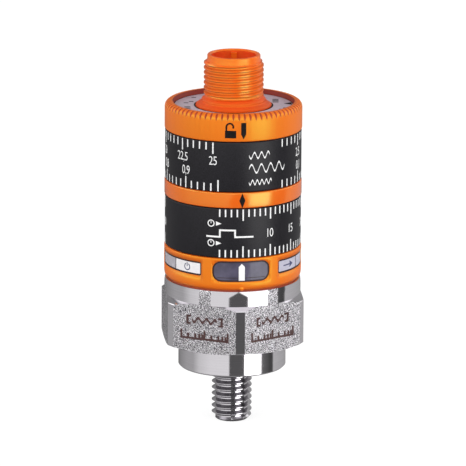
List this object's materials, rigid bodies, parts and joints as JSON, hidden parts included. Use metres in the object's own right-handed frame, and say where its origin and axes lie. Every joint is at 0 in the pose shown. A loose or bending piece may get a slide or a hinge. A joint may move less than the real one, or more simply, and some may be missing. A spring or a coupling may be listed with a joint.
{
  "type": "vibration sensor",
  "caption": "Compact vibration sensor with a threaded stud and hexagon, two turnable setting rings, a lock ring, lamp windows and a round plug connector.",
  "frame": {"origin": "centre of the seat face, where the mounting stud starts", "axes": "+Z along the sensor's axis from the seat towards the plug, -Y to the front where the pointer is, +X to the right"},
  "size_m": [0.0284, 0.0302, 0.0744],
  "materials": {
    "steel": "turned, with frosted flats",
    "orange_plastic": "moulded, satin",
    "black_plastic": "moulded, satin",
    "core_plastic": "moulded",
    "clear_plastic": "translucent, polished",
    "smoked_plastic": "smoked, polished",
    "white_plastic": "moulded",
    "elastomer": "matt",
    "board": "solder mask over glass laminate",
    "chip_plastic": "moulded",
    "lamp_plastic": "clear resin",
    "resin": "cast",
    "magnet_metal": "plated",
    "pin_steel": "ground",
    "contact_gold": "gold plated",
    "label_metal": "anodised"
  },
  "bodies": {
    "housing": {"base": "steel", "sensor_board": "board", "accelerometer": "chip_plastic", "board_header": "chip_plastic", "potting": "resin", "base_gasket": "elastomer", "core_sleeve": "core_plastic", "lower_drag_ring": "elastomer", "upper_drag_ring": "elastomer", "lower_stop_pin": "pin_steel", "upper_stop_pin": "pin_steel", "main_board": "board", "processor": "chip_plastic", "lower_angle_sensor": "chip_plastic", "upper_angle_sensor": "chip_plastic", "lamp_board": "board", "lamps": "lamp_plastic", "window_ring": "orange_plastic", "left_front_window": "clear_plastic", "left_rear_window": "clear_plastic", "right_front_window": "clear_plastic", "right_rear_window": "clear_plastic", "centre_window": "smoked_plastic", "pointer": "white_plastic", "middle_ring": "orange_plastic", "connector_head": "orange_plastic", "head_seal": "elastomer", "contact_carrier": "core_plastic", "contact_board": "board", "contact_pin_1": "contact_gold", "contact_pin_2": "contact_gold", "contact_pin_3": "contact_gold", "contact_pin_4": "contact_gold", "label_disc": "label_metal"},
    "delay_dial": {"delay_ring": "black_plastic", "delay_magnet": "magnet_metal"},
    "velocity_dial": {"velocity_ring": "black_plastic", "velocity_magnet": "magnet_metal"},
    "lock": {"lock_ring": "orange_plastic"}
  },
  "joints": [
    {"name": "delay_turn", "type": "hinge", "parent": "housing", "child": "delay_dial", "pos_m": [0, 0, 0.03], "axis": [0, 0, 1], "range_deg": [-279, 24]},
    {"name": "velocity_turn", "type": "hinge", "parent": "housing", "child": "velocity_dial", "pos_m": [0, 0, 0.043], "axis": [0, 0, 1], "range_deg": [0, 328]},
    {"name": "lock_turn", "type": "hinge", "parent": "housing", "child": "lock", "pos_m": [0, 0, 0.05], "axis": [0, 0, 1], "range_deg": [-18, 0]}
  ]
}
